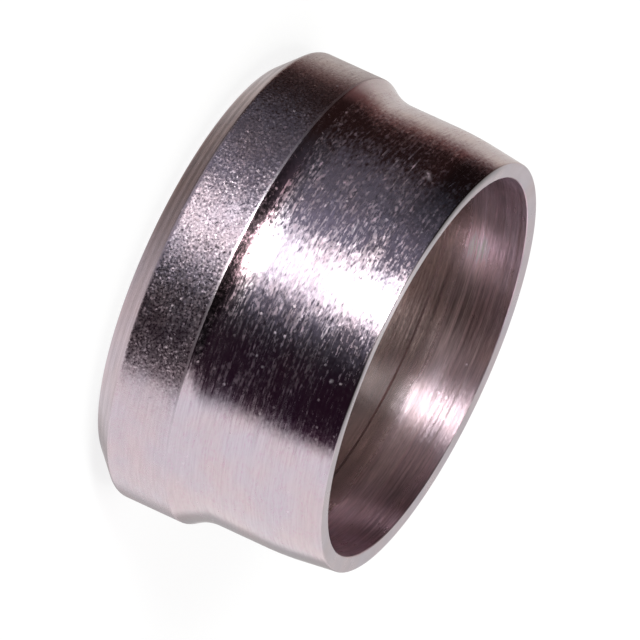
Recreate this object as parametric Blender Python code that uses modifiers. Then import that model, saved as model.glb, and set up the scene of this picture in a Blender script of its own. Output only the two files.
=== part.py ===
"""Cutting ring of a 24 degree cone compression fitting, for a 16 mm hydraulic tube.

One turned steel piece. Metres, +Z up along the bore. The origin is the centre of the rear face,
on which the ring stands, and the cutting end is at the top.
"""

from math import atan2, ceil, cos, pi, radians, sin, tan

import bpy
from mathutils import Vector

TUBE_DIAMETER = 0.016
TUBE_CLEARANCE = 0.00005  # radial, between the tube and the bore
RING_LENGTH = 0.0100

# Walls, each added to the one before it from the bore outwards.
CUTTING_END_WALL = 0.00066
CONE_RISE = 0.000275
SHOULDER_HEIGHT = 0.000515

# The cutting end slides into the 24 degree cone of the fitting's body.
CONE_ANGLE = radians(7.1)
CONE_BLEND_RADIUS = 0.0125
CUTTING_END_ROUND = 0.00005

# The shoulder sweeps up from the barrel to the collar's front edge.
SHOULDER_ANGLE = radians(34)
SHOULDER_FILLET = 0.0022
COLLAR_FRONT_ROUND = 0.00020
COLLAR_LAND = 0.00258

# The rear chamfer takes the thrust of the union nut's 45 degree face.
REAR_CHAMFER_ANGLE = radians(45)
REAR_FACE_WIDTH = 0.00032
COLLAR_REAR_ROUND = 0.00025
REAR_FACE_ROUND = 0.00010
LEAD_IN = 0.00015

# Inside, from the cutting end: a land behind the first edge, a relief, and the second edge.
FIRST_EDGE_BREAK = 0.00003
FIRST_EDGE_LAND = 0.00144
RELIEF_DEPTH = 0.00008
RELIEF_SLOPE_LENGTH = 0.00076
RELIEF_LENGTH = 0.00108
SECOND_EDGE_RAKE = 0.00007

STEPS_ROUND = 120
ARC_STEP = radians(10)  # widest turn between two points of a profile arc
LEAST_ARC_STEPS = 4
MOST_ROUNDED = 0.96  # share of a side that the rounds at its two ends may take up
SHARP_EDGE = radians(24)  # a crease over this keeps a hard edge in the shading
SAME_POINT = 1e-7  # points nearer than this are joined where the turn closes

ZINC_COLOUR = (0.60, 0.56, 0.59, 1.0)
ZINC_ROUGHNESS = 0.28
ZINC_METALLIC = 1.0

BORE_RADIUS = TUBE_DIAMETER / 2 + TUBE_CLEARANCE
CUTTING_END_RADIUS = BORE_RADIUS + CUTTING_END_WALL
BARREL_RADIUS = CUTTING_END_RADIUS + CONE_RISE
COLLAR_RADIUS = BARREL_RADIUS + SHOULDER_HEIGHT
RELIEF_RADIUS = BORE_RADIUS + RELIEF_DEPTH


def clear_scene():
    for obj in list(bpy.data.objects):
        bpy.data.objects.remove(obj, do_unlink=True)
    for collection in list(bpy.data.collections):
        bpy.data.collections.remove(collection)


def outside_corners():
    """(radius, height, round) of each corner on the outside, from the cutting end down.

    A Screw turns the section outwards this way round.
    """
    cone_foot = RING_LENGTH - CONE_RISE / tan(CONE_ANGLE)
    rear_radius = BORE_RADIUS + LEAD_IN + REAR_FACE_WIDTH
    collar_bottom = (COLLAR_RADIUS - rear_radius) / tan(REAR_CHAMFER_ANGLE)
    collar_top = collar_bottom + COLLAR_LAND
    shoulder_foot = collar_top + SHOULDER_HEIGHT / tan(SHOULDER_ANGLE)
    return [
        (CUTTING_END_RADIUS, RING_LENGTH, CUTTING_END_ROUND),
        (BARREL_RADIUS, cone_foot, CONE_BLEND_RADIUS),
        (BARREL_RADIUS, shoulder_foot, SHOULDER_FILLET),
        (COLLAR_RADIUS, collar_top, COLLAR_FRONT_ROUND),
        (COLLAR_RADIUS, collar_bottom, COLLAR_REAR_ROUND),
        (rear_radius, 0.0, REAR_FACE_ROUND),
    ]


def inside_corners():
    """(radius, height, round) of each corner in the bore, from the rear face up.

    The edges there bite into the tube, so they stay sharp.
    """
    land_bottom = RING_LENGTH - FIRST_EDGE_BREAK - FIRST_EDGE_LAND
    relief_top = land_bottom - RELIEF_SLOPE_LENGTH
    relief_bottom = relief_top - RELIEF_LENGTH
    second_edge = relief_bottom - SECOND_EDGE_RAKE
    return [
        (BORE_RADIUS + LEAD_IN, 0.0, 0.0),
        (BORE_RADIUS, LEAD_IN, 0.0),
        (BORE_RADIUS, second_edge, 0.0),
        (RELIEF_RADIUS, relief_bottom, 0.0),
        (RELIEF_RADIUS, relief_top, 0.0),
        (BORE_RADIUS, land_bottom, 0.0),
        (BORE_RADIUS, RING_LENGTH - FIRST_EDGE_BREAK, 0.0),
        (BORE_RADIUS + FIRST_EDGE_BREAK, RING_LENGTH, 0.0),
    ]


def half_angle(before, corner, after):
    return (before - corner).angle(after - corner) / 2


def arc(before, corner, after, reach):
    """The points of an arc that touches both sides of a corner at this distance from it."""
    if reach == 0.0:
        return [corner]
    to_before = (before - corner).normalized()
    to_after = (after - corner).normalized()
    half = half_angle(before, corner, after)
    radius = reach * tan(half)
    centre = corner + (to_before + to_after).normalized() * radius / sin(half)
    first = corner + to_before * reach - centre
    last = corner + to_after * reach - centre
    start = atan2(first.y, first.x)
    turn = (atan2(last.y, last.x) - start + pi) % (2 * pi) - pi
    count = max(LEAST_ARC_STEPS, ceil(abs(turn) / ARC_STEP))
    angles = [start + turn * step / count for step in range(count + 1)]
    return [centre + radius * Vector((cos(angle), sin(angle))) for angle in angles]


def rounded(corners):
    """A closed outline with each corner rounded. Rounds that meet on a side are cut back alike to fit it."""
    places = [Vector((radius, height)) for radius, height, _ in corners]
    before = places[-1:] + places[:-1]
    after = places[1:] + places[:1]
    reaches = []
    for index, (_, _, round_radius) in enumerate(corners):
        half = half_angle(before[index], places[index], after[index])
        reaches.append(round_radius / tan(half))
    shares = []
    for index, reach in enumerate(reaches):
        both = reach + reaches[(index + 1) % len(reaches)]
        length = (after[index] - places[index]).length
        shares.append(min(1.0, MOST_ROUNDED * length / max(both, SAME_POINT)))
    outline = []
    for index, reach in enumerate(reaches):
        share = min(shares[index - 1], shares[index])
        outline += arc(before[index], places[index], after[index], reach * share)
    return outline


def turned(name, outline, collection):
    """A mesh object made by turning a closed outline once round Z."""
    count = len(outline)
    section = bpy.data.meshes.new(name + "_section")
    points = [(point.x, 0.0, point.y) for point in outline]
    edges = [(index, (index + 1) % count) for index in range(count)]
    section.from_pydata(points, edges, [])
    lathe = bpy.data.objects.new(name + "_lathe", section)
    collection.objects.link(lathe)
    screw = lathe.modifiers.new("Turn", "SCREW")
    screw.axis = "Z"
    screw.angle = 2 * pi
    screw.steps = STEPS_ROUND
    screw.render_steps = STEPS_ROUND
    screw.use_merge_vertices = True
    screw.merge_threshold = SAME_POINT
    graph = bpy.context.evaluated_depsgraph_get()
    mesh = bpy.data.meshes.new_from_object(lathe.evaluated_get(graph))
    bpy.data.objects.remove(lathe, do_unlink=True)
    bpy.data.meshes.remove(section)
    mesh.name = name
    mesh.shade_smooth()
    mesh.set_sharp_from_angle(angle=SHARP_EDGE)
    obj = bpy.data.objects.new(name, mesh)
    collection.objects.link(obj)
    return obj


def zinc_steel():
    material = bpy.data.materials.new("zinc_plated_steel")
    material.use_nodes = True
    shader = material.node_tree.nodes["Principled BSDF"]
    shader.inputs["Base Color"].default_value = ZINC_COLOUR
    shader.inputs["Roughness"].default_value = ZINC_ROUGHNESS
    shader.inputs["Metallic"].default_value = ZINC_METALLIC
    return material


def make_cutting_ring():
    collection = bpy.data.collections.new("cutting_ring")
    bpy.context.scene.collection.children.link(collection)
    outline = rounded(outside_corners() + inside_corners())
    ring = turned("cutting_ring", outline, collection)
    ring.data.materials.append(zinc_steel())


clear_scene()
make_cutting_ring()
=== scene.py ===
"""Looks of the cutting ring: a bright zinc-plated turned ring, standing on its rear face.

Metres, +Z up along the bore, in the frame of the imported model. Round the ring, an angle of 0 is the
side that faces the camera and a positive angle is towards -X.
"""

from math import atan2, ceil, cos, pi, radians, sin, tan
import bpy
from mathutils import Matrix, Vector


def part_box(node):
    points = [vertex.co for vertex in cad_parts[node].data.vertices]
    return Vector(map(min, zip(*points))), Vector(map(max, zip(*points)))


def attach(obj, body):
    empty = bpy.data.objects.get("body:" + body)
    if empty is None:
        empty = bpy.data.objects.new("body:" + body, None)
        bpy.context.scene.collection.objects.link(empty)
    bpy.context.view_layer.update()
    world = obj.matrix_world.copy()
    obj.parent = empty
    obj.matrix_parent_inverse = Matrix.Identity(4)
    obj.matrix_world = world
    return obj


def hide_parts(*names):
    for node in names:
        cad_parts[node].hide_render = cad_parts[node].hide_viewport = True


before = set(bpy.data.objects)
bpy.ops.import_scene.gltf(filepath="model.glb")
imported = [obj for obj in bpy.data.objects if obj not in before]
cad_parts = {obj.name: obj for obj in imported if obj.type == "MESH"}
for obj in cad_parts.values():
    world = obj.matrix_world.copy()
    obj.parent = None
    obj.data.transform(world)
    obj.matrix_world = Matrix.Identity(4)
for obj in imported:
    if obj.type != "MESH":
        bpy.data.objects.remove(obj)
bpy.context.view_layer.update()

from types import SimpleNamespace

import bpy
import numpy as np
from mathutils import Matrix, Vector

MM = 0.001
RING_LOW, RING_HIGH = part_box("cutting_ring")
RING_LENGTH = RING_HIGH.z - RING_LOW.z
COLLAR_RADIUS = RING_HIGH.x

# Section, as in the solid.
BORE_RADIUS = 8.05 * MM
CUTTING_END_RADIUS = 8.71 * MM
BARREL_RADIUS = 8.985 * MM
CONE_ANGLE = radians(7.1)
CONE_BLEND_RADIUS = 12.5 * MM
CUTTING_END_ROUND = 0.05 * MM
SHOULDER_ANGLE = radians(34)
SHOULDER_FILLET = 2.2 * MM
COLLAR_FRONT_ROUND = 0.20 * MM
COLLAR_LAND = 2.58 * MM
REAR_FACE_RADIUS = 8.52 * MM
COLLAR_REAR_ROUND = 0.25 * MM
REAR_FACE_ROUND = 0.10 * MM
LEAD_IN = 0.15 * MM
FIRST_EDGE_BREAK = 0.03 * MM
FIRST_EDGE_LAND = 1.44 * MM
RELIEF_DEPTH = 0.08 * MM
RELIEF_SLOPE_LENGTH = 0.76 * MM
RELIEF_LENGTH = 1.08 * MM
SECOND_EDGE_RAKE = 0.07 * MM

# Section, here alone.
RELIEF_ROUND = 2.0 * MM
FACE_HOLLOW = 0.045 * MM  # how far the end face falls from its outer edge to the bore

COLLAR_BOTTOM = COLLAR_RADIUS - REAR_FACE_RADIUS
COLLAR_TOP = COLLAR_BOTTOM + COLLAR_LAND
SHOULDER_FOOT = COLLAR_TOP + (COLLAR_RADIUS - BARREL_RADIUS) / tan(SHOULDER_ANGLE)
SHOULDER_END = SHOULDER_FOOT + SHOULDER_FILLET * tan(SHOULDER_ANGLE / 2)
CONE_FOOT = RING_LENGTH - (BARREL_RADIUS - CUTTING_END_RADIUS) / tan(CONE_ANGLE)
CONE_START = CONE_FOOT + CONE_BLEND_RADIUS * sin(CONE_ANGLE / 2)

SAME = 1e-7  # lengths that differ by less than this are the same

# Mesh. The front of the bore, which the camera sees, is as fine as the outside.
STEPS_ROUND = 360
OUTSIDE_SPACING = 0.065 * MM
BORE_SPACING = 0.40 * MM
BORE_FRONT_SPACING = 0.05 * MM
BORE_FRONT_BOTTOM = RING_LENGTH - FIRST_EDGE_LAND - RELIEF_SLOPE_LENGTH - 0.2 * MM
LEAST_ARC_STEPS = 5
SHARP_EDGE = radians(24)

# Turning marks: each point of the section lies a random depth under the true surface. There are
# none where the section turns more than MARKED_TURN, or on an end face, where it rises less than
# END_FACE_RISE of its length.
TURNING_SEED = 7
OUTSIDE_MARKS = 0.0011 * MM
CHAMFER_MARKS = 0.0020 * MM
COLLAR_MARKS = 0.0004 * MM
BORE_MARKS = 0.0016 * MM
MARKED_TURN = radians(8)
END_FACE_RISE = 0.5

# Camera: a long lens, rolled so that the ring's axis points down to the right.
CAMERA_DISTANCE = 620 * MM
CAMERA_HEIGHT_ANGLE = radians(15.624)
CAMERA_ROLL = radians(114.688)
CAMERA_CLIP = (0.01, 20.0)
VIEW_WIDTH = 24.872 * MM
FACE_RIGHT_OF_CENTRE = 4.2568 * MM
FACE_BELOW_CENTRE = 1.8739 * MM
SENSOR_WIDTH = 36.0

PLAIN = (1.0, 1.0, 1.0)
WHITE = (1.0, 0.99, 1.02)
LAMP_WHITE = (1.0, 1.06, 1.0)
CREAM = (1.0, 0.98, 0.97)
WARM = (1.0, 0.92, 0.82)
BROWN = (1.0, 0.48, 0.44)
PLUM = (1.0, 0.37, 0.86)
COOL = (0.90, 0.88, 1.08)
BLUE = (0.90, 0.88, 1.20)

# Studio: what the metal reflects, by the direction's angle round the ring (degrees), level and
# tint. A white card reaches from 145 degrees, behind the ring, to -67. The rest is a dark room.
STUDIO = [
    (-180, 0.74, CREAM),
    (-147, 1.00, CREAM),
    (-67, 0.98, WHITE),
    (-58, 0.05, PLUM),
    (-52, 0.018, PLUM),
    (-28, 0.016, PLUM),
    (-8, 0.02, COOL),
    (40, 0.04, COOL),
    (60, 0.09, COOL),
    (78, 0.05, COOL),
    (96, 0.020, BROWN),
    (121, 0.020, BROWN),
    (131, 0.18, BROWN),
    (145, 0.66, WARM),
    (180, 0.74, CREAM),
]
# A softbox with its lamp lights the near side, with a paler halo round it. A low glow comes up from
# the table beside it. All angles are degrees round the ring and above the floor.
SOFTBOX = {
    "tint": WHITE,
    "centre": 19,
    "half_width": 20,
    "edge": 18,
    "bottom": -45,
    "full": 8,
    "top": 49,
    "top_edge": 20,
    "level": 3.4,
}
LAMP = {
    "tint": LAMP_WHITE,
    "centre": 20,
    "half_width": 10,
    "edge": 8,
    "bottom": 12,
    "full": 22,
    "top": 36,
    "top_edge": 8,
    "level": 52.0,
}
HALO = {
    "tint": BLUE,
    "centre": 25,
    "half_width": 44,
    "edge": 30,
    "bottom": -90,
    "full": -70,
    "top": 48,
    "top_edge": 90,
    "level": 0.28,
}
GLOW = {
    "tint": COOL,
    "centre": 76,
    "half_width": 26,
    "edge": 24,
    "bottom": -90,
    "full": -60,
    "top": -2,
    "top_edge": 14,
    "level": 0.09,
}
TABLE = {
    "tint": CREAM,
    "centre": 25,
    "half_width": 100,
    "edge": 40,
    "bottom": -95,
    "full": -91,
    "top": -38,
    "top_edge": 22,
    "level": 0.40,
}
# A grey patch low behind the ring takes this share from the white card.
GREY = {
    "tint": PLAIN,
    "centre": -162,
    "half_width": 16,
    "edge": 10,
    "bottom": -40,
    "full": -28,
    "top": 20,
    "top_edge": 20,
    "level": 0.45,
}
# Nothing but dark room is above the softbox on that side.
DARK_ABOVE = radians(36)
DARK_FULL = radians(48)
DARK_TOP = 0.05
DARK_SIDE = radians(35)
DARK_SIDE_HALF_WIDTH = radians(84)
DARK_SIDE_EDGE = radians(13)
# The table is dimmest under the ring, a little to one side.
TABLE_DIM = (0.50, 0.46, 0.44)
TABLE_DIM_AROUND = radians(153)
TABLE_DIM_UP = radians(-69)
TABLE_DIM_FULL = radians(8)
TABLE_DIM_END = radians(31)
# What the metal of the bore sees of the table through the ring.
TABLE_THROUGH_BORE = (0.27, 0.25, 0.20)
TABLE_DROP = 0.01 * MM
# The lamp shines through the ring onto a patch of it.
TABLE_LIT = (1.3, 1.25, 1.1)
LIT_AROUND = radians(-31)
LIT_FROM_AXIS = 5.0 * MM
LIT_RADIUS = 3.8 * MM

# The floor is nearly white, and glows for the camera so that its paint isn't grey in the picture.
FLOOR_RADIUS = 1.0
FLOOR_DROP = 0.02 * MM
FLOOR_PAINT = (0.97, 0.97, 0.97)
FLOOR_GLOW = 0.8
DISC_SIDES = 64
CEILING_SIZE = 0.5
CEILING_POWER = 2.5
CEILING_HEIGHT = 0.7
CEILING_BEHIND = 0.1

# Zinc: its colour drifts between two, and is a little cooler where bright and pinker where worn.
ZINC_PINK = (0.64, 0.52, 0.55)
ZINC_BLUE = (0.61, 0.525, 0.58)
BRIGHT_TINT = (1.0, 1.035, 1.03)
WORN_TINT = (1.0, 0.89, 0.97)
WORN_TINT_PER_PATCH = 4  # share of the worn tint for each unit of patches, and 1 at most
ANISOTROPY_TURN = 0.25  # of a whole turn

# Each kind of noise: features a metre round the ring and along its axis, detail and roughness.
CLOUDS = (900.0, 1100.0, 2.0, 0.5)
TINTS = (500.0, 700.0, 2.0, 0.5)
STREAKS = (900.0, 14000.0, 2.0, 0.6)
BANDS = (60.0, 12000.0, 2.0, 0.6)
PATCHES = (10500.0, 10500.0, 3.0, 0.65)
CLUMPS = (2400.0, 3000.0, 2.0, 0.5)
RAGGED = (20000.0, 20000.0, 1.0, 0.5)
CRYSTAL_LEAN = (10000.0, 10000.0, 1.0, 0.6)
LINE_LEAN = (900.0, 14000.0, 1.0, 0.6)
BAND_LEAN = (50.0, 11000.0, 1.0, 0.6)
NOISE_MIDDLE = (0.5, 0.5, 0.5)

# The part of a noise's values that a pattern uses, and what the pattern makes of its two ends.
CLOUD_VALUES = (0.35, 0.65)
CLOUD_GLOSS = (0.94, 1.07)
CLOUD_LEAN = (0.8, 1.2)
LINE_VALUES = (0.42, 0.62)
BAND_VALUES = (0.38, 0.62)
DIRT_PALER = 0.4
DIRT_DARKER = 0.6
PATCH_VALUES = (0.44, 0.86)
CLUMP_WEAR = (0.6, 1.4)
STREAK_VALUES = (0.36, 0.64)
STREAK_WEAR = (0.35, 1.65)
BORE_PAINTED_LIGHT_BANDS = (0.4, 1.5)
# Lathe lines are streaks and bands, added up in these shares.
STREAK_SHARE = 0.6
BAND_SHARE = 0.4

# How far noise leans the normal even where it is weakest, and how much of its lean a turning mark
# keeps sideways.
EVEN_LEAN = 0.10
MARK_SIDEWAYS = 0.15

# Where the metal mirrors the white card, on both sides, the grain is weak.
TOP_CARD_FULL = -8.4 * MM
TOP_CARD_END = -6.9 * MM
NEAR_CARD_START = 3.4 * MM
NEAR_CARD_FULL = 5.2 * MM
GRAIN_IN_CARD = 0.25
# Towards -X the barrel and the cone are more worn.
SIDE_REACH = 3 * MM
WORN_SIDE = 1.3
FINE_SIDE = 0.45

# Specks of dull zinc, one in some of the cells of a pattern. This many cells lie in a metre, and a
# speck's radius and core are shares of a cell.
SPECK_PLACES = 2600.0
SPECK_RADIUS = 0.19
SPECK_CORE = 0.4 * SPECK_RADIUS
SPECK_FAINTEST = 0.3
SPECK_RAGGED = 0.06 * MM
SPECK_ROUGHNESS = 0.40
SPECK_PALER = 1.25

# Scratches and nicks: the angle round the ring (degrees) and the distance below the cutting end
# (mm) of their two ends, and their width (mm). A mark is full up to KNOCK_CORE of its width from
# its middle line, and ends at KNOCK_END.
KNOCKS = {
    "zinc_barrel": (
        (49.9, 1.73, 48.1, 1.61, 0.27),
        (26.5, 2.82, 22.5, 2.78, 0.06),
        (20.5, 2.16, 17.5, 2.08, 0.06),
        (-1.0, 1.88, -4.5, 1.95, 0.045),
        (-15.0, 4.10, -15.1, 4.11, 0.08),
        (-17.0, 3.72, -17.1, 3.73, 0.10),
        (57.0, 3.10, 54.0, 3.13, 0.03),
        (44.0, 2.55, 40.0, 2.51, 0.03),
        (62.0, 3.35, 55.0, 3.36, 0.05),
        (58.0, 2.72, 51.0, 2.71, 0.05),
        (53.0, 2.36, 46.0, 2.34, 0.04),
        (56.0, 3.62, 48.0, 3.64, 0.04),
        (49.0, 3.02, 42.0, 3.01, 0.05),
        (46.0, 2.20, 39.0, 2.21, 0.04),
    ),
    "zinc_cone": (
        (-13.2, 0.99, -13.4, 1.01, 0.15),
        (-19.0, 1.20, -19.1, 1.21, 0.09),
        (52.0, 0.70, 49.0, 0.76, 0.03),
    ),
}
KNOCK_END = 0.8
KNOCK_CORE = 0.1
KNOCK_STRENGTH = 0.8

# Painted bands of shade round the chamfer, standing in for the bands it reflects.
# Towards +X they weaken to this share.
PAINTED_BAND_SPACING = 0.35 * MM
PAINTED_BAND_START = 0.22  # radians of the wave
PAINTED_BANDS_FULL_AT = -3.0 * MM
PAINTED_BANDS_WEAK_AT = 1.5 * MM
WEAK_PAINTED_BANDS = 0.3

# Deep in the bore the turning is finer, and painted shade darkens the metal. In between, one fades
# into the other.
DEEP_FULL = RING_LENGTH - 3.2 * MM
DEEP_START = RING_LENGTH - 1.9 * MM
DEEP_ROUGHNESS = 0.50
DEEP_MARKS = 0.2
DEEP_WITHOUT_SPECKS = 0.5  # this far into the change the specks end
# The land behind the first edge is a little glossier.
LAND_FROM = RING_LENGTH - 1.65 * MM
LAND_FULL = RING_LENGTH - 1.35 * MM
LAND_ROUGHNESS = 0.85
# Painted light and shade in the bore, paler places for reflections and a glow, darker ones for shade:
# the angle, the distance below the cutting end and the radius (mm), and how much paler.
BORE_PAINTED_LIGHT = (
    (141, 2.1, 1.9, 0.95),
    (140, 0.2, 1.5, -0.30),
    (161, 2.0, 2.2, -0.40),
    (238, 2.3, 1.7, 0.55),
    (236, 0.2, 1.7, -0.40),
    (222, 0.8, 2.0, -0.15),
    (166, 5.6, 2.0, 0.80),
    (190, 1.7, 1.7, 0.35),
)

# A painted highlight on the rim: a pale spot beside the reflected highlight.
RIM_PAINTED_HIGHLIGHT = (-1.7 * MM, -8.2 * MM, RING_LENGTH)
RIM_PAINTED_HIGHLIGHT_RADIUS = 1.6 * MM
RIM_PAINTED_HIGHLIGHT_PALER = 0.55
# Painted shade on the outer part of the rim and its lip, on the near side and not at the highlight.
# Each pair of lengths is where it is absent and where it is full.
RIM_PAINTED_SHADE_INNER = 8.30 * MM
RIM_PAINTED_SHADE_OUTER = 8.60 * MM
RIM_PAINTED_SHADE = (0.12, 0.88)
RIM_PAINTED_SHADE_NEAR = (-1.5 * MM, -4.5 * MM)
RIM_PAINTED_SHADE_START = (5.0 * MM, 2.2 * MM)
RIM_PAINTED_SHADE_TO_LIGHT = (0.0, 1.6 * MM)
RIM_PAINTED_SHADE_PAST_LIGHT = (-3.4 * MM, -5.0 * MM)

# Painted shade on other surfaces: which surfaces, what colour, and along which axes it fades in,
# from the place where it is absent to the place where it is full.
PAINTED_SHADES = (
    # Painted shade, brownish like a reflection, on the shoulder and the start of the barrel, beside
    # the highlight on the near side.
    (
        ("zinc_shoulder", "zinc_barrel"),
        (0.76, 0.60, 0.63),
        (
            ("Z", COLLAR_TOP + 0.95 * MM, COLLAR_TOP + 0.35 * MM),
            ("X", 2.6 * MM, 0.6 * MM),
            ("X", -6.5 * MM, -4.5 * MM),
            ("Y", 0.0, -5.5 * MM),
        ),
    ),
    # Painted shade over the collar, except where it mirrors the white card.
    (
        ("zinc_collar",),
        (0.77, 0.755, 0.745),
        (("X", NEAR_CARD_FULL, NEAR_CARD_START),),
    ),
    # Painted shade on the cone's upper part on the near side, between the highlight and the white
    # card.
    (
        ("zinc_cone",),
        (0.48, 0.56, 0.60),
        (
            ("X", -4.6 * MM, -6.5 * MM),
            ("X", -8.3 * MM, -7.9 * MM),
            ("Y", -1.0 * MM, -3.0 * MM),
            ("Z", CONE_START, CONE_START + 0.6 * MM),
        ),
    ),
    # Painted shade deep in the bore.
    (
        ("zinc_bore",),
        (0.84, 0.89, 0.82),
        (("Z", DEEP_START, DEEP_FULL),),
    ),
)

# One finish for each turned surface. patches is how much duller a worn patch is. crystals, lines
# and bands are how far each leans the normal, and stretch draws crystals and patches out round the
# ring. specks is the share of places that have one, and painted_shade_bands the depth of the painted
# bands of shade on the chamfer. one_side is for a surface that is more worn towards -X.
USUAL_FINISH = {
    "anisotropy": 0.0,
    "stretch": 1.0,
    "bands": 0.0,
    "dirt": 0.1,
    "shade": PLAIN,
    "specks": 0.0,
    "painted_shade_bands": 0.0,
    "one_side": False,
}
FINISHES = {
    "zinc_chamfer": dict(
        USUAL_FINISH,
        roughness=0.22,
        line_roughness=0.30,
        patches=0.02,
        anisotropy=0.5,
        crystals=0.3,
        stretch=2.0,
        lines=0.4,
        bands=1.0,
        dirt=0.15,
        shade=(0.96, 0.93, 0.95),
        specks=0.1,
        painted_shade_bands=0.4,
    ),
    "zinc_collar": dict(
        USUAL_FINISH,
        roughness=0.23,
        line_roughness=0.28,
        patches=0.42,
        anisotropy=0.2,
        crystals=1.9,
        lines=0.3,
        specks=0.35,
    ),
    "zinc_edge": dict(
        USUAL_FINISH,
        roughness=0.34,
        line_roughness=0.40,
        patches=0.10,
        anisotropy=0.3,
        crystals=0.5,
        lines=0.3,
    ),
    "zinc_shoulder": dict(
        USUAL_FINISH,
        roughness=0.12,
        line_roughness=0.15,
        patches=0.26,
        anisotropy=0.5,
        crystals=0.3,
        stretch=1.8,
        lines=0.3,
        bands=0.3,
        specks=0.3,
    ),
    "zinc_barrel": dict(
        USUAL_FINISH,
        roughness=0.14,
        line_roughness=0.24,
        patches=0.45,
        anisotropy=0.5,
        crystals=0.85,
        stretch=2.4,
        lines=0.9,
        bands=0.5,
        dirt=0.08,
        specks=0.35,
        one_side=True,
    ),
    "zinc_cone": dict(
        USUAL_FINISH,
        roughness=0.11,
        line_roughness=0.18,
        patches=0.39,
        anisotropy=0.5,
        crystals=0.70,
        stretch=2.0,
        lines=0.8,
        bands=0.4,
        dirt=0.08,
        specks=0.35,
        one_side=True,
    ),
    "zinc_rim": dict(
        USUAL_FINISH,
        roughness=0.28,
        line_roughness=0.32,
        patches=0.05,
        crystals=0.4,
        lines=0.1,
        shade=(0.93, 0.96, 0.96),
    ),
    "zinc_lip": dict(
        USUAL_FINISH,
        roughness=0.18,
        line_roughness=0.22,
        patches=0.02,
        crystals=0.1,
        lines=0.2,
    ),
    "zinc_groove": dict(
        USUAL_FINISH,
        roughness=0.40,
        line_roughness=0.50,
        patches=0.02,
        crystals=0.4,
        stretch=2.0,
        lines=0.4,
        # The groove is dull, and its dark colour is painted shade in the recess.
        shade=(0.29, 0.21, 0.19),
    ),
    "zinc_bore": dict(
        USUAL_FINISH,
        roughness=0.33,
        line_roughness=0.39,
        patches=0.05,
        anisotropy=0.85,
        crystals=0.3,
        stretch=2.0,
        lines=0.3,
        bands=1.5,
        dirt=0.4,
        shade=(1.0, 0.89, 0.94),
        specks=0.15,
    ),
}
# The height at which each outside finish starts.
OUTSIDE_ZONES = (
    ("zinc_chamfer", 0.0),
    ("zinc_collar", COLLAR_BOTTOM),
    ("zinc_edge", COLLAR_TOP - 0.05 * MM),
    ("zinc_shoulder", COLLAR_TOP + 0.03 * MM),
    ("zinc_barrel", COLLAR_TOP + 0.42 * MM),
    ("zinc_cone", CONE_START),
    ("zinc_lip", RING_LENGTH - CUTTING_END_ROUND),
)
GROOVE_LEAST_RISE = 0.3
END_FACE_TILT = radians(20)


def half_angle(before, corner, after):
    return (before - corner).angle(after - corner) / 2


def arc(before, corner, after, radius):
    """The points of an arc that touches both sides of a corner, or the corner itself if sharp."""
    if radius == 0.0:
        return [corner]
    to_before = (before - corner).normalized()
    to_after = (after - corner).normalized()
    half = half_angle(before, corner, after)
    reach = radius / tan(half)
    centre = corner + (to_before + to_after).normalized() * radius / sin(half)
    first = corner + to_before * reach - centre
    last = corner + to_after * reach - centre
    start = atan2(first.y, first.x)
    turn = (atan2(last.y, last.x) - start + pi) % (2 * pi) - pi
    count = max(LEAST_ARC_STEPS, ceil(radius * abs(turn) / OUTSIDE_SPACING))
    angles = [start + turn * step / count for step in range(count + 1)]
    return [centre + radius * Vector((cos(angle), sin(angle))) for angle in angles]


def section_corners():
    """(radius, height, round) of the section's corners, down the outside and up the bore."""
    land_bottom = RING_LENGTH - FIRST_EDGE_BREAK - FIRST_EDGE_LAND
    relief_top = land_bottom - RELIEF_SLOPE_LENGTH
    relief_bottom = relief_top - RELIEF_LENGTH
    relief_radius = BORE_RADIUS + RELIEF_DEPTH
    return [
        (CUTTING_END_RADIUS, RING_LENGTH, CUTTING_END_ROUND),
        (BARREL_RADIUS, CONE_FOOT, CONE_BLEND_RADIUS),
        (BARREL_RADIUS, SHOULDER_FOOT, SHOULDER_FILLET),
        (COLLAR_RADIUS, COLLAR_TOP, COLLAR_FRONT_ROUND),
        (COLLAR_RADIUS, COLLAR_BOTTOM, COLLAR_REAR_ROUND),
        (REAR_FACE_RADIUS, 0.0, REAR_FACE_ROUND),
        (BORE_RADIUS + LEAD_IN, 0.0, 0.0),
        (BORE_RADIUS, LEAD_IN, 0.0),
        (BORE_RADIUS, relief_bottom - SECOND_EDGE_RAKE, 0.0),
        (relief_radius, relief_bottom, 0.0),
        (relief_radius, relief_top, RELIEF_ROUND),
        (BORE_RADIUS, land_bottom, RELIEF_ROUND),
        (BORE_RADIUS, RING_LENGTH - FACE_HOLLOW - FIRST_EDGE_BREAK, 0.0),
        (BORE_RADIUS + FIRST_EDGE_BREAK, RING_LENGTH - FACE_HOLLOW, 0.0),
    ]


def spacing_between(point, after):
    """How close together the section's points lie between these two."""
    if max(point.x, after.x) >= BORE_RADIUS + LEAD_IN + SAME:
        return OUTSIDE_SPACING
    return BORE_FRONT_SPACING if min(point.y, after.y) > BORE_FRONT_BOTTOM else BORE_SPACING


def section_outline():
    """The section's closed outline, with points close enough together for fine relief."""
    corners = section_corners()
    places = [Vector((radius, height)) for radius, height, _ in corners]
    coarse = []
    for index, (_, _, round_radius) in enumerate(corners):
        after = places[(index + 1) % len(places)]
        coarse += arc(places[index - 1], places[index], after, round_radius)
    outline = []
    for index, point in enumerate(coarse):
        after = coarse[(index + 1) % len(coarse)]
        pieces = max(1, round((after - point).length / spacing_between(point, after)))
        outline += [point.lerp(after, piece / pieces) for piece in range(pieces)]
    return outline


def mark_depth(point):
    """The deepest turning mark at a point of the section."""
    if point.x < BORE_RADIUS + RELIEF_DEPTH + SAME:
        return BORE_MARKS if point.y > DEEP_START else 0.0
    if point.y < COLLAR_BOTTOM:
        return CHAMFER_MARKS
    return OUTSIDE_MARKS if point.y > SHOULDER_END else COLLAR_MARKS


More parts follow.
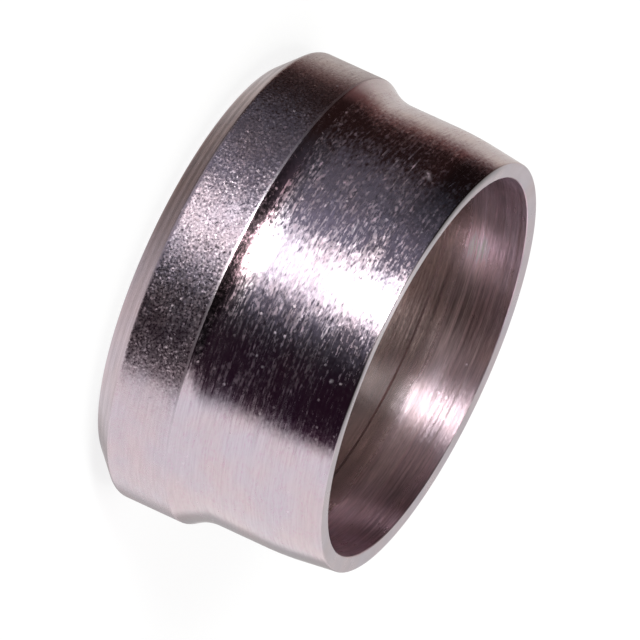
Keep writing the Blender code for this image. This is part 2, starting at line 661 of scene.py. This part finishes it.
def marked(outline):
    """The outline with turning marks, all of them cut into the metal."""
    random = np.random.default_rng(TURNING_SEED)
    depths = random.random(len(outline)) ** 2
    cut = []
    for index, point in enumerate(outline):
        back = point - outline[index - 1]
        on = outline[(index + 1) % len(outline)] - point
        straight = back.length > SAME and on.length > SAME and back.angle(on) < MARKED_TURN
        level = abs(on.normalized().y) < END_FACE_RISE
        end_face = level and point.x > BORE_RADIUS + FIRST_EDGE_BREAK + SAME
        if straight and not end_face:
            into_metal = Vector((on.y, -on.x)).normalized()
            point = point + into_metal * mark_depth(point) * depths[index]
        cut.append(point)
    return cut


def turned_ring(name):
    """The section with its turning marks, turned once round Z."""
    outline = marked(section_outline())
    count = len(outline)
    section = bpy.data.meshes.new(name + "_section")
    points = [(point.x, 0.0, point.y) for point in outline]
    section.from_pydata(points, [(i, (i + 1) % count) for i in range(count)], [])
    lathe = bpy.data.objects.new(name + "_lathe", section)
    bpy.context.scene.collection.objects.link(lathe)
    screw = lathe.modifiers.new("Turn", "SCREW")
    screw.axis = "Z"
    screw.angle = 2 * pi
    screw.steps = screw.render_steps = STEPS_ROUND
    screw.use_merge_vertices = True
    screw.merge_threshold = SAME
    graph = bpy.context.evaluated_depsgraph_get()
    mesh = bpy.data.meshes.new_from_object(lathe.evaluated_get(graph))
    bpy.data.objects.remove(lathe, do_unlink=True)
    bpy.data.meshes.remove(section)
    mesh.shade_smooth()
    mesh.set_sharp_from_angle(angle=SHARP_EDGE)
    ring = bpy.data.objects.new(name, mesh)
    bpy.context.scene.collection.objects.link(ring)
    return ring


def add(tree, kind, **settings):
    node = tree.nodes.new(kind)
    for key, value in settings.items():
        setattr(node, key, value)
    return node


def feed(tree, socket, value):
    """Links a socket to an input, or sets the input to a number or colour."""
    if isinstance(value, bpy.types.NodeSocket):
        tree.links.new(value, socket)
    else:
        socket.default_value = value


def calc(tree, operation, *values):
    node = add(tree, "ShaderNodeMath", operation=operation)
    for index, value in enumerate(values):
        feed(tree, node.inputs[index], value)
    return node.outputs["Value"]


def product(tree, first, *others):
    for other in others:
        first = calc(tree, "MULTIPLY", first, other)
    return first


def spread(tree, value, low, high, to_low=0.0, to_high=1.0, soft=False):
    """Maps a value from one range to another, held at the ends."""
    kind = "SMOOTHSTEP" if soft else "LINEAR"
    node = add(tree, "ShaderNodeMapRange", interpolation_type=kind)
    feed(tree, node.inputs["Value"], value)
    node.inputs["From Min"].default_value = low
    node.inputs["From Max"].default_value = high
    node.inputs["To Min"].default_value = to_low
    node.inputs["To Max"].default_value = to_high
    return node.outputs["Result"]


def fade(tree, value, absent, full):
    """0 where the value is one of these and 1 where it is the other, with a soft change between."""
    return spread(tree, value, absent, full, soft=True)


def vector(tree, operation, first, second=None):
    """The vector that a vector operation gives."""
    node = add(tree, "ShaderNodeVectorMath", operation=operation)
    feed(tree, node.inputs[0], first)
    if second is not None:
        feed(tree, node.inputs["Scale" if operation == "SCALE" else 1], second)
    return node.outputs["Vector"]


def measure(tree, operation, first, second=None):
    """The number that a vector operation gives, such as a length."""
    node = add(tree, "ShaderNodeVectorMath", operation=operation)
    feed(tree, node.inputs[0], first)
    if second is not None:
        feed(tree, node.inputs[1], second)
    return node.outputs["Value"]


def blend(tree, factor, first, second):
    """The first colour where the factor is 0 and the second where it is 1."""
    node = add(tree, "ShaderNodeMix", data_type="RGBA")
    tree.links.new(factor, node.inputs["Factor"])
    for socket, colour in (("A", first), ("B", second)):
        if isinstance(colour, tuple):
            colour += (1.0,)
        feed(tree, node.inputs[socket], colour)
    return node.outputs["Result"]


def axes_of(tree, place):
    """The X, Y and Z of a vector."""
    node = add(tree, "ShaderNodeSeparateXYZ")
    tree.links.new(place, node.inputs["Vector"])
    return {axis: node.outputs[axis] for axis in "XYZ"}


def noise(tree, place, kind, stretch=1.0, output="Fac"):
    """One kind of noise, stretched this much round the ring."""
    around, along, detail, roughness = kind
    scaled = add(tree, "ShaderNodeMapping")
    tree.links.new(place, scaled.inputs["Vector"])
    scaled.inputs["Scale"].default_value = (around / stretch, around / stretch, along)
    texture = add(tree, "ShaderNodeTexNoise")
    tree.links.new(scaled.outputs["Vector"], texture.inputs["Vector"])
    texture.inputs["Scale"].default_value = 1.0
    texture.inputs["Detail"].default_value = detail
    texture.inputs["Roughness"].default_value = roughness
    return texture.outputs[output]


def tilted(tree, normal, place, kind, amount, stretch=1.0, sideways=1.0):
    """Leans the normal by noise: a little nearly everywhere, and more in a few spots.

    A turning mark leans it along the axis, and sideways by only a share of that.
    """
    lean = vector(tree, "SUBTRACT", noise(tree, place, kind, stretch, "Color"), NOISE_MIDDLE)
    lean = vector(tree, "MULTIPLY", lean, (sideways, sideways, 1.0))
    more = calc(tree, "ADD", measure(tree, "LENGTH", lean), EVEN_LEAN)
    lean = vector(tree, "SCALE", lean, product(tree, more, amount))
    return vector(tree, "NORMALIZE", vector(tree, "ADD", normal, lean))


def specks(tree, place, share):
    """Sparse round specks: 1 in a speck and 0 elsewhere, in this share of the places for one."""
    texture = add(tree, "ShaderNodeTexVoronoi")
    ragged = vector(tree, "SCALE", noise(tree, place, RAGGED, output="Color"), SPECK_RAGGED)
    tree.links.new(vector(tree, "ADD", place, ragged), texture.inputs["Vector"])
    texture.inputs["Scale"].default_value = SPECK_PLACES
    dot = spread(tree, texture.outputs["Distance"], SPECK_RADIUS, SPECK_CORE)
    chance = add(tree, "ShaderNodeSeparateColor")
    tree.links.new(texture.outputs["Color"], chance.inputs["Color"])
    strength = spread(tree, chance.outputs["Green"], 0.0, 1.0, SPECK_FAINTEST, 1.0)
    there = calc(tree, "LESS_THAN", chance.outputs["Red"], share)
    return product(tree, dot, strength, there)


def near_spot(tree, place, spot, radius, amount):
    """This amount at a spot, and fading to 0 at this distance from it."""
    distance = measure(tree, "DISTANCE", place, spot)
    return spread(tree, distance, radius, 0.0, 0.0, amount, soft=True)


def deep_in_bore(tree, axes):
    """0 at the front of the bore and 1 deep in it."""
    return fade(tree, axes["Z"], DEEP_START, DEEP_FULL)


def ring_place(angle, radius, height):
    return Vector((-sin(angle) * radius, -cos(angle) * radius, height))


def surface_place(angle, below):
    """The place on the barrel or the cone at this angle, and this far below the cutting end."""
    radius = min(BARREL_RADIUS, CUTTING_END_RADIUS + below * tan(CONE_ANGLE))
    return ring_place(radians(angle), radius, RING_LENGTH - below)


def knocks(tree, place, marks):
    """1 on each of these scratches and nicks, and 0 elsewhere."""
    found = 0.0
    for angle, below, to_angle, to_below, width in marks:
        start = surface_place(angle, below * MM)
        along = surface_place(to_angle, to_below * MM) - start
        from_start = vector(tree, "SUBTRACT", place, start)
        reached = measure(tree, "DOT_PRODUCT", from_start, along)
        share = spread(tree, reached, 0.0, along.length_squared)
        off = vector(tree, "SUBTRACT", from_start, vector(tree, "SCALE", tuple(along), share))
        end, core = KNOCK_END * width * MM, KNOCK_CORE * width * MM
        mark = spread(tree, measure(tree, "LENGTH", off), end, core, 0.0, KNOCK_STRENGTH)
        found = calc(tree, "MAXIMUM", found, mark)
    return found


def zinc_grain(tree, name, finish, place, axes):
    """The patterns that a finish's gloss, normal and colour share."""
    x = axes["X"]
    in_top_card = spread(tree, x, TOP_CARD_FULL, TOP_CARD_END, GRAIN_IN_CARD, 1.0)
    in_near_card = spread(tree, x, NEAR_CARD_START, NEAR_CARD_FULL, 1.0, GRAIN_IN_CARD, soft=True)
    strength = product(tree, in_top_card, in_near_card)
    streaks = noise(tree, place, STREAKS)
    bands = noise(tree, place, BANDS)
    lines = calc(
        tree,
        "ADD",
        product(tree, streaks, STREAK_SHARE),
        product(tree, bands, BAND_SHARE),
    )
    patches = noise(tree, place, PATCHES, finish["stretch"])
    clumps = noise(tree, place, CLUMPS, finish["stretch"])
    worn = product(
        tree,
        spread(tree, patches, *PATCH_VALUES),
        spread(tree, clumps, *CLOUD_VALUES, *CLUMP_WEAR),
    )
    side_strength = strength
    if finish["one_side"]:
        more_worn = spread(tree, x, -SIDE_REACH, SIDE_REACH, WORN_SIDE, FINE_SIDE)
        side_strength = product(tree, strength, more_worn)
        worn = product(tree, worn, spread(tree, streaks, *STREAK_VALUES, *STREAK_WEAR))
    speck = specks(tree, place, finish["specks"])
    if name == "zinc_bore":
        in_front = calc(tree, "LESS_THAN", deep_in_bore(tree, axes), DEEP_WITHOUT_SPECKS)
        speck = product(tree, speck, in_front)
    if name in KNOCKS:
        speck = calc(tree, "MAXIMUM", speck, knocks(tree, place, KNOCKS[name]))
    return SimpleNamespace(
        strength=strength,
        side_strength=side_strength,
        clouds=noise(tree, place, CLOUDS),
        bands=bands,
        lines=lines,
        worn=worn,
        speck=speck,
    )


def zinc_roughness(tree, name, finish, axes, grain):
    """Lathe lines, worn patches and specks are duller, and all of it varies in soft clouds."""
    ends = (finish["roughness"], finish["line_roughness"])
    rough = spread(tree, grain.lines, *LINE_VALUES, *ends)
    patchy = product(tree, grain.worn, finish["patches"], grain.side_strength)
    rough = calc(tree, "ADD", rough, patchy)
    rough = calc(tree, "ADD", rough, product(tree, grain.speck, SPECK_ROUGHNESS))
    rough = product(tree, rough, spread(tree, grain.clouds, *CLOUD_VALUES, *CLOUD_GLOSS))
    if name == "zinc_bore":
        finer = spread(tree, deep_in_bore(tree, axes), 0.0, 1.0, 1.0, DEEP_ROUGHNESS)
        on_land = spread(tree, axes["Z"], LAND_FROM, LAND_FULL, 1.0, LAND_ROUGHNESS, soft=True)
        rough = product(tree, rough, finer, on_land)
    return rough


def zinc_normal(tree, name, finish, place, axes, grain):
    """Crystals, lathe lines and lathe bands each lean the normal."""
    normal = add(tree, "ShaderNodeNewGeometry").outputs["Normal"]
    ends = [share * finish["crystals"] for share in CLOUD_LEAN]
    crystals = product(
        tree, spread(tree, grain.clouds, *CLOUD_VALUES, *ends), grain.side_strength
    )
    normal = tilted(tree, normal, place, CRYSTAL_LEAN, crystals, stretch=finish["stretch"])
    lines = product(tree, grain.strength, finish["lines"])
    normal = tilted(tree, normal, place, LINE_LEAN, lines, sideways=MARK_SIDEWAYS)
    bands = finish["bands"]
    if name == "zinc_bore":
        bands = spread(tree, deep_in_bore(tree, axes), 0.0, 1.0, bands, bands * DEEP_MARKS)
    return tilted(tree, normal, place, BAND_LEAN, bands, sideways=MARK_SIDEWAYS)


def rim_painted_shade(tree, place, axes):
    """How dark the painted shade on the outer part of the rim is, from 0 to 1."""
    radius = measure(tree, "LENGTH", vector(tree, "MULTIPLY", place, (1.0, 1.0, 0.0)))
    outer = spread(tree, radius, RIM_PAINTED_SHADE_INNER, RIM_PAINTED_SHADE_OUTER, *RIM_PAINTED_SHADE)
    near = fade(tree, axes["Y"], *RIM_PAINTED_SHADE_NEAR)
    start = fade(tree, axes["X"], *RIM_PAINTED_SHADE_START)
    to_light = fade(tree, axes["X"], *RIM_PAINTED_SHADE_TO_LIGHT)
    past_light = fade(tree, axes["X"], *RIM_PAINTED_SHADE_PAST_LIGHT)
    beside_light = calc(tree, "MAXIMUM", product(tree, start, to_light), past_light)
    return product(tree, outer, near, beside_light)


def zinc_paleness(tree, name, finish, place, axes, grain):
    """How pale the metal is, with its dirt and specks, and painted light and shade."""
    dirt = finish["dirt"]
    ends = (1.0 + DIRT_PALER * dirt, 1.0 - DIRT_DARKER * dirt)
    pale = spread(tree, grain.lines, *BAND_VALUES, *ends)
    pale = product(tree, pale, spread(tree, grain.speck, 0.0, 1.0, 1.0, SPECK_PALER))
    # Painted bands of shade round the chamfer.
    if finish["painted_shade_bands"]:
        turns = 2 * pi / PAINTED_BAND_SPACING
        wave = calc(tree, "SINE", calc(tree, "MULTIPLY_ADD", axes["Z"], turns, PAINTED_BAND_START))
        banded = spread(tree, wave, 1.0, -1.0, 0.0, finish["painted_shade_bands"])
        ends = (PAINTED_BANDS_WEAK_AT, PAINTED_BANDS_FULL_AT, WEAK_PAINTED_BANDS, 1.0)
        banded = product(tree, banded, spread(tree, axes["X"], *ends, soft=True))
        pale = product(tree, pale, calc(tree, "SUBTRACT", 1.0, banded))
    # Painted reflections, glow and shade in the bore.
    if name == "zinc_bore":
        for angle, below, radius, paler in BORE_PAINTED_LIGHT:
            spot = ring_place(radians(angle), BORE_RADIUS, RING_LENGTH - below * MM)
            found = near_spot(tree, place, spot, radius * MM, paler)
            banded = spread(tree, grain.bands, *BAND_VALUES, *BORE_PAINTED_LIGHT_BANDS)
            found = product(tree, found, banded)
            pale = product(tree, pale, calc(tree, "ADD", 1.0, found))
    # Painted shade on the outer part of the rim and the lip.
    if name in ("zinc_rim", "zinc_lip"):
        painted_shade = rim_painted_shade(tree, place, axes)
        pale = product(tree, pale, calc(tree, "SUBTRACT", 1.0, painted_shade))
    # A painted highlight on the rim.
    if name == "zinc_rim":
        found = near_spot(tree, place, RIM_PAINTED_HIGHLIGHT, RIM_PAINTED_HIGHLIGHT_RADIUS, RIM_PAINTED_HIGHLIGHT_PALER)
        pale = product(tree, pale, calc(tree, "ADD", 1.0, found))
    return pale


def zinc_colour(tree, name, finish, place, axes, grain):
    """Zinc that drifts between two colours, with the finish's shade and painted shade over it."""
    tint = blend(
        tree, spread(tree, noise(tree, place, TINTS), *CLOUD_VALUES), ZINC_PINK, ZINC_BLUE
    )
    share = min(1.0, WORN_TINT_PER_PATCH * finish["patches"])
    worn_tint = blend(tree, product(tree, grain.worn, share), BRIGHT_TINT, WORN_TINT)
    colour = vector(tree, "MULTIPLY", tint, worn_tint)
    colour = vector(tree, "MULTIPLY", colour, finish["shade"])
    pale = zinc_paleness(tree, name, finish, place, axes, grain)
    colour = vector(tree, "SCALE", colour, pale)
    # Painted shade on the shoulder, the collar, the cone and deep in the bore.
    for surfaces, shade, limits in PAINTED_SHADES:
        if name in surfaces:
            painted_shade = [fade(tree, axes[axis], absent, full) for axis, absent, full in limits]
            shaded = blend(tree, product(tree, *painted_shade), PLAIN, shade)
            colour = vector(tree, "MULTIPLY", colour, shaded)
    return colour


def zinc_material(name, finish):
    material = bpy.data.materials.new(name)
    material.use_nodes = True
    tree = material.node_tree
    shader = tree.nodes["Principled BSDF"]
    shader.inputs["Metallic"].default_value = 1.0
    shader.inputs["Anisotropic"].default_value = finish["anisotropy"]
    shader.inputs["Anisotropic Rotation"].default_value = ANISOTROPY_TURN
    place = add(tree, "ShaderNodeTexCoord").outputs["Object"]
    axes = axes_of(tree, place)
    grain = zinc_grain(tree, name, finish, place, axes)
    rough = zinc_roughness(tree, name, finish, axes, grain)
    normal = zinc_normal(tree, name, finish, place, axes, grain)
    colour = zinc_colour(tree, name, finish, place, axes, grain)
    tree.links.new(rough, shader.inputs["Roughness"])
    tree.links.new(normal, shader.inputs["Normal"])
    tree.links.new(colour, shader.inputs["Base Color"])
    return material


def finish_zones(ring):
    """Gives each turned surface its own finish."""
    for name, finish in FINISHES.items():
        ring.data.materials.append(zinc_material(name, finish))
    names = list(FINISHES)
    count = len(ring.data.polygons)
    centres = np.empty(count * 3)
    normals = np.empty(count * 3)
    ring.data.polygons.foreach_get("center", centres)
    ring.data.polygons.foreach_get("normal", normals)
    centres = centres.reshape(-1, 3)
    normals = normals.reshape(-1, 3)
    height = centres[:, 2]
    outward = (centres[:, :2] * normals[:, :2]).sum(axis=1) > 0
    flat = np.abs(normals[:, 2]) > cos(END_FACE_TILT)
    zone = np.full(count, names.index("zinc_bore"))
    groove = ~outward & (normals[:, 2] > GROOVE_LEAST_RISE) & (height < DEEP_START)
    zone[groove] = names.index("zinc_groove")
    for name, bottom in OUTSIDE_ZONES:
        zone[outward & (height > bottom)] = names.index(name)
    zone[flat] = names.index("zinc_rim")
    ring.data.polygons.foreach_set("material_index", zone)


def soft_patch(tree, around, up, patch):
    """The level of a soft-edged patch of light, by the direction's angles round the ring and up."""
    angles = {key: radians(patch[key]) for key in patch if key not in ("tint", "level")}
    aside = calc(tree, "ABSOLUTE", calc(tree, "SUBTRACT", around, angles["centre"]))
    inner = angles["half_width"] - angles["edge"]
    across = fade(tree, aside, angles["half_width"], inner)
    foot = fade(tree, up, angles["bottom"], angles["full"])
    head = fade(tree, up, angles["top"], angles["top"] - angles["top_edge"])
    return product(tree, across, foot, head, patch["level"])


def studio_light(tree, whole):
    """The light that metal sees in a direction: a white card, a dark room and a softbox."""
    axes = axes_of(tree, whole)
    from_x = product(tree, axes["X"], -1.0)
    from_y = product(tree, axes["Y"], -1.0)
    around = calc(tree, "ARCTAN2", from_x, from_y)
    up = calc(tree, "ARCSINE", axes["Z"])
    ramp = add(tree, "ShaderNodeValToRGB")
    stops = ramp.color_ramp.elements
    while len(stops) < len(STUDIO):
        stops.new(0.5)
    for stop, (angle, level, tint) in zip(stops, STUDIO):
        stop.position = angle / 360 + 0.5
        stop.color = (level * tint[0], level * tint[1], level * tint[2], 1.0)
    tree.links.new(spread(tree, around, -pi, pi), ramp.inputs["Fac"])
    aside = calc(tree, "ABSOLUTE", calc(tree, "SUBTRACT", around, DARK_SIDE))
    side_end = DARK_SIDE_HALF_WIDTH + DARK_SIDE_EDGE
    shade = spread(tree, aside, DARK_SIDE_HALF_WIDTH, side_end, 1.0, 0.0)
    shade = product(tree, shade, spread(tree, up, DARK_ABOVE, DARK_FULL, 0.0, 1.0 - DARK_TOP))
    lit = vector(tree, "SCALE", ramp.outputs["Color"], calc(tree, "SUBTRACT", 1.0, shade))
    for patch in (SOFTBOX, LAMP, HALO, GLOW, TABLE):
        light = vector(tree, "SCALE", patch["tint"], soft_patch(tree, around, up, patch))
        lit = vector(tree, "ADD", lit, light)
    grey = soft_patch(tree, around, up, GREY)
    lit = vector(tree, "SCALE", lit, calc(tree, "SUBTRACT", 1.0, grey))
    dimmest = tuple(ring_place(TABLE_DIM_AROUND, cos(TABLE_DIM_UP), sin(TABLE_DIM_UP)))
    off = calc(tree, "ARCCOSINE", measure(tree, "DOT_PRODUCT", whole, dimmest))
    dim = blend(tree, spread(tree, off, TABLE_DIM_FULL, TABLE_DIM_END), TABLE_DIM, PLAIN)
    return vector(tree, "MULTIPLY", lit, dim)


def studio_world():
    """White to the camera, and the studio to everything else."""
    world = bpy.data.worlds.new("studio")
    bpy.context.scene.world = world
    world.use_nodes = True
    tree = world.node_tree
    shader = tree.nodes["Background"]
    whole = add(tree, "ShaderNodeTexCoord").outputs["Generated"]
    studio = studio_light(tree, whole)
    path = add(tree, "ShaderNodeLightPath").outputs
    seen = calc(tree, "MAXIMUM", path["Is Camera Ray"], path["Is Transmission Ray"])
    tree.links.new(blend(tree, seen, studio, PLAIN), shader.inputs["Color"])


def disc(name, radius, drop):
    """A flat disc this far under the ring, with a new material that has no shader yet."""
    bpy.ops.mesh.primitive_circle_add(
        vertices=DISC_SIDES, radius=radius, fill_type="NGON", location=(0, 0, RING_LOW.z - drop)
    )
    made = bpy.context.object
    made.name = name
    material = bpy.data.materials.new(name)
    material.use_nodes = True
    tree = material.node_tree
    tree.nodes.remove(tree.nodes["Principled BSDF"])
    made.data.materials.append(material)
    return made, tree


def studio_floor():
    """Painted nearly white, with a glow that only the camera sees. It keeps the ring's shadow."""
    floor, tree = disc("floor", FLOOR_RADIUS, FLOOR_DROP)
    floor.visible_glossy = False
    paint = add(tree, "ShaderNodeBsdfDiffuse")
    paint.inputs["Color"].default_value = FLOOR_PAINT + (1.0,)
    glow = add(tree, "ShaderNodeEmission")
    path = add(tree, "ShaderNodeLightPath")
    mix = add(tree, "ShaderNodeMixShader")
    share = product(tree, path.outputs["Is Camera Ray"], FLOOR_GLOW)
    tree.links.new(share, mix.inputs["Fac"])
    tree.links.new(paint.outputs["BSDF"], mix.inputs[1])
    tree.links.new(glow.outputs["Emission"], mix.inputs[2])
    tree.links.new(mix.outputs["Shader"], tree.nodes["Material Output"].inputs["Surface"])


def table_through_bore():
    """The table as only the metal of the bore sees it, with the lamp's light on a patch of it."""
    table, tree = disc("table_through_bore", BORE_RADIUS, TABLE_DROP)
    table.visible_camera = False
    table.visible_diffuse = False
    table.visible_shadow = False
    glow = add(tree, "ShaderNodeEmission")
    place = add(tree, "ShaderNodeTexCoord").outputs["Object"]
    spot = ring_place(LIT_AROUND, LIT_FROM_AXIS, 0.0)
    lit = near_spot(tree, place, spot, LIT_RADIUS, 1.0)
    tree.links.new(blend(tree, lit, TABLE_THROUGH_BORE, TABLE_LIT), glow.inputs["Color"])
    tree.links.new(glow.outputs["Emission"], tree.nodes["Material Output"].inputs["Surface"])


def studio_lamp():
    """Lights the floor from above. The metal takes its light from the world alone."""
    data = bpy.data.lights.new("ceiling", "AREA")
    data.shape = "DISK"
    data.size = CEILING_SIZE
    data.energy = CEILING_POWER
    lamp = bpy.data.objects.new("ceiling", data)
    lamp.location = (0.0, CEILING_BEHIND, CEILING_HEIGHT)
    lamp.rotation_euler = (-atan2(CEILING_BEHIND, CEILING_HEIGHT), 0.0, 0.0)
    lamp.visible_glossy = False
    bpy.context.scene.collection.objects.link(lamp)


def studio_camera():
    """Looks at the cutting end's face from the -Y side, a little above it, and rolled."""
    right = Vector((1, 0, 0))
    forward = Vector((0, cos(CAMERA_HEIGHT_ANGLE), -sin(CAMERA_HEIGHT_ANGLE)))
    up = right.cross(forward)
    roll = Matrix.Rotation(-CAMERA_ROLL, 3, forward)
    right = roll @ right
    up = roll @ up
    face = Vector((0, 0, RING_LENGTH))
    centre = face - right * FACE_RIGHT_OF_CENTRE + up * FACE_BELOW_CENTRE
    place = centre - forward * CAMERA_DISTANCE
    data = bpy.data.cameras.new("camera")
    data.sensor_width = SENSOR_WIDTH
    data.lens = SENSOR_WIDTH * CAMERA_DISTANCE / VIEW_WIDTH
    data.clip_start, data.clip_end = CAMERA_CLIP
    camera = bpy.data.objects.new("camera", data)
    bpy.context.scene.collection.objects.link(camera)
    axes = Matrix((right, up, -forward)).transposed().to_4x4()
    camera.matrix_world = Matrix.Translation(place) @ axes
    bpy.context.scene.camera = camera


studio_camera()
studio_world()
studio_floor()
table_through_bore()
studio_lamp()
ring = turned_ring("ring")
finish_zones(ring)
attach(ring, "root")
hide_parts("cutting_ring")

bpy.context.scene.view_settings.view_transform = "Standard"
